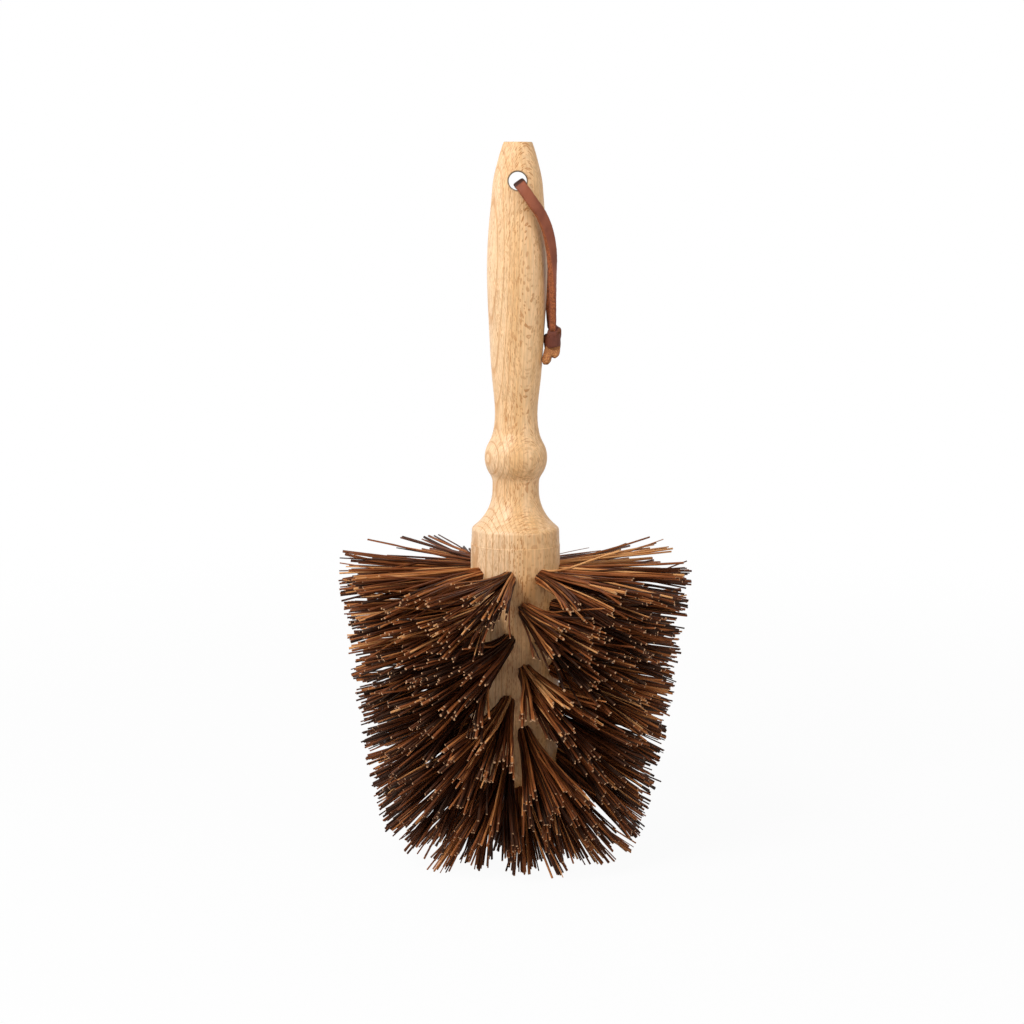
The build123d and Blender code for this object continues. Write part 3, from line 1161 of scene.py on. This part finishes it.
        mesh.polygons.foreach_set("use_smooth", [True] * len(quads) + [False] * 2)
        cut = np.tile(level**2 > self.cut_edge_share, (count, 1)).astype(float)
        cut[[0, -1]] = 1.0
        mesh.attributes.new("cut_edge", "FLOAT", "POINT").data.foreach_set("value", cut.ravel())
        piece = add_object(run.name, mesh)
        deselect()
        piece.select_set(True)
        bpy.context.view_layer.objects.active = piece
        bpy.ops.object.mode_set(mode="EDIT")
        bpy.ops.mesh.select_all(action="SELECT")
        bpy.ops.mesh.normals_make_consistent(inside=False)
        bpy.ops.object.mode_set(mode="OBJECT")
        texture = bpy.data.textures.new(f"{run.name}_uneven", "CLOUDS")
        texture.noise_scale = self.lump_size
        uneven = piece.modifiers.new("uneven", "DISPLACE")
        uneven.texture = texture
        uneven.texture_coords = "LOCAL"
        uneven.strength = run.unevenness
        bpy.ops.object.modifier_apply(modifier=uneven.name)
        deselect()
        return piece, [Vector(point) for point in path]

    def build(self) -> None:
        """Builds and dresses the lace, the knot and the tails."""
        size = (self.width, self.thickness)
        run = Run("lace", self.route, self.ways, size, self.unevenness, unit=1.0)
        lace, path = self.sweep(run)
        knot = [self.sweep(run)[0] for run in (self.wind_turn(), self.fold)]
        tails = [self.sweep(run)[0] for run in self.tails]
        looks = ((self.lace_finish, [lace]), (self.knot_finish, knot), (self.tail_finish, tails))
        for finish, pieces in looks:
            leather = finish.build()
            for piece in pieces:
                dress(piece, leather)
        for piece in (lace, *knot, *tails):
            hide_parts("hanging_strap")
            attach(piece, "hanging_loop")
        log.info("built the strap with %d pieces of knot and %d tails", len(knot), len(tails))

    def wind_turn(self) -> Run:
        """Winds the knot's flat turn round both runs, a little looser towards its end.

        Returns:
            The turn.
        """
        places = []
        ways = []
        wide, deep = self.turn_radii
        start, end = self.turn_angles
        for share in np.linspace(0.0, 1.0, self.turn_steps):
            angle = math.radians(start + (end - start) * share)
            way = Vector((math.cos(angle), math.sin(angle), 0.0))
            late = max(share - 1.0 + self.turn_end, 0.0) / self.turn_end
            loose = 1.0 + self.turn_end_growth * late
            rise = self.turn_lean * way.x + self.turn_rise * (share - 0.5)
            reach = Vector((wide * way.x * loose, deep * way.y * loose, rise))
            places.append(Vector(self.turn_centre) + reach)
            ways.append(way)
        return Run("knot_turn", places, ways, self.turn_size, self.turn_unevenness)


@dataclass
class Studio:
    """A pale floor, soft lamps and the camera at the photograph's place."""

    camera_place: Triple = (-0.0015, -0.974, 0.2835)
    aim_height: float = 0.1463
    lens: float = 82.27
    sensor_width: float = 36.0
    roll: float = 0.36
    sight: float = 100.0
    floor_size: float = 80.0
    floor_colour: Colour = (0.70, 0.70, 0.70)
    floor_roughness: float = 0.9
    shadow_reach: Pair = (0.25, 0.9)
    backdrop_share: float = 0.95
    white: Colour = (1.0, 1.0, 1.0)
    world_light: float = 0.22
    lamps: tuple[tuple[str, Triple, float, float], ...] = (
        ("key_lamp", (-0.70, -0.85, 1.15), 0.55, 18.5),
        ("side_lamp", (-1.1, 0.15, 0.60), 0.8, 5.0),
        ("fill_lamp", (1.0, -0.85, 0.62), 0.9, 7.2),
        ("rim_lamp", (0.4, 0.9, 0.9), 0.7, 0.9),
    )

    def add_camera(self) -> None:
        """Places the camera and makes it the scene's."""
        data = bpy.data.cameras.new("camera")
        data.lens = self.lens
        data.sensor_width = self.sensor_width
        data.clip_end = self.sight
        camera = add_object("camera", data)
        place = Vector(self.camera_place)
        aim = Vector((place.x, 0.0, self.aim_height))
        facing = (aim - place).to_track_quat("-Z", "Y").to_matrix().to_4x4()
        roll = Matrix.Rotation(math.radians(self.roll), 4, "Z")
        camera.matrix_world = Matrix.Translation(place) @ facing @ roll
        bpy.context.scene.camera = camera

    def add_lamp(self, name: str, place: Triple, size: float, power: float) -> None:
        """Adds a soft lamp that points at the brush.

        Args:
            name: The lamp's name.
            place: Where it stands.
            size: Its width.
            power: Its power in watts.
        """
        data = bpy.data.lights.new(name, "AREA")
        data.shape = "SQUARE"
        data.size = size
        data.energy = power
        lamp = add_object(name, data)
        lamp.location = place
        toward = Vector((0.0, 0.0, self.aim_height)) - Vector(place)
        lamp.rotation_euler = toward.to_track_quat("-Z", "Y").to_euler()

    @staticmethod
    def hide(sheet: NodeSheet, share: object, lit: NodeSocket, shown: NodeSocket) -> NodeSocket:
        """Lights the scene with one shader and shows another to a camera, a gloss or a glass.

        Args:
            sheet: The sheet to draw in.
            share: How much of the second shader shows.
            lit: The first shader.
            shown: The second shader.

        Returns:
            The mixed shader.
        """
        path = sheet.add("LightPath").outputs
        seen = sheet.math("MAXIMUM", path["Is Camera Ray"], path["Is Glossy Ray"])
        seen = sheet.math("MAXIMUM", seen, path["Is Transmission Ray"])
        share = sheet.math("MULTIPLY", seen, share)
        return sheet.fill(sheet.add("MixShader"), share, lit, shown).outputs[0]

    def add_floor(self) -> None:
        """Lays the floor, which shows white but keeps the brush's shadow."""
        deselect()
        bpy.ops.mesh.primitive_plane_add(size=self.floor_size)
        floor = bpy.context.object
        floor.name = "floor"
        material, sheet, shader = new_material("white_floor")
        sheet.fill(shader, Base_Color=self.floor_colour, Roughness=self.floor_roughness)
        glow = sheet.add("Emission").outputs[0]
        spot = sheet.add("TexCoord").outputs["Object"]
        away = sheet.vector_math("LENGTH", spot).outputs["Value"]
        share = sheet.span(away, *self.shadow_reach, self.backdrop_share, 1.0)
        end = next(node for node in sheet.tree.nodes if node.type == "OUTPUT_MATERIAL")
        sheet.fill(end, self.hide(sheet, share, shader.outputs[0], glow))
        dress(floor, material)
        deselect()

    def set_world(self) -> None:
        """Lights the scene evenly from all round, before a white background."""
        world = bpy.data.worlds.new("studio")
        world.use_nodes = True
        world.node_tree.nodes.clear()
        bpy.context.scene.world = world
        sheet = NodeSheet(world.node_tree)
        back = sheet.add("Background")
        light = sheet.add("Background")
        sheet.fill(back, Color=self.white)
        sheet.fill(light, Color=self.white, Strength=self.world_light)
        both = self.hide(sheet, 1.0, light.outputs[0], back.outputs[0])
        sheet.fill(sheet.add("OutputWorld"), both)

    def build(self) -> None:
        """Sets up the whole studio."""
        self.add_camera()
        self.add_floor()
        self.set_world()
        for lamp in self.lamps:
            self.add_lamp(*lamp)
        bpy.context.scene.view_settings.view_transform = "Standard"
        log.info("studio is ready")


def main() -> None:
    """Builds the scene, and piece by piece."""
    logging.basicConfig(level=logging.INFO, format="%(message)s")
    Studio().build()
    HangingStrap().build()
    KeptPiece("handle", BeechFinish()).dress()
    KeptPiece("tuft_anchors", WireFinish()).dress()
    FibreTufts().build()
    bpy.context.view_layer.update()


if __name__ == "__main__":
    main()
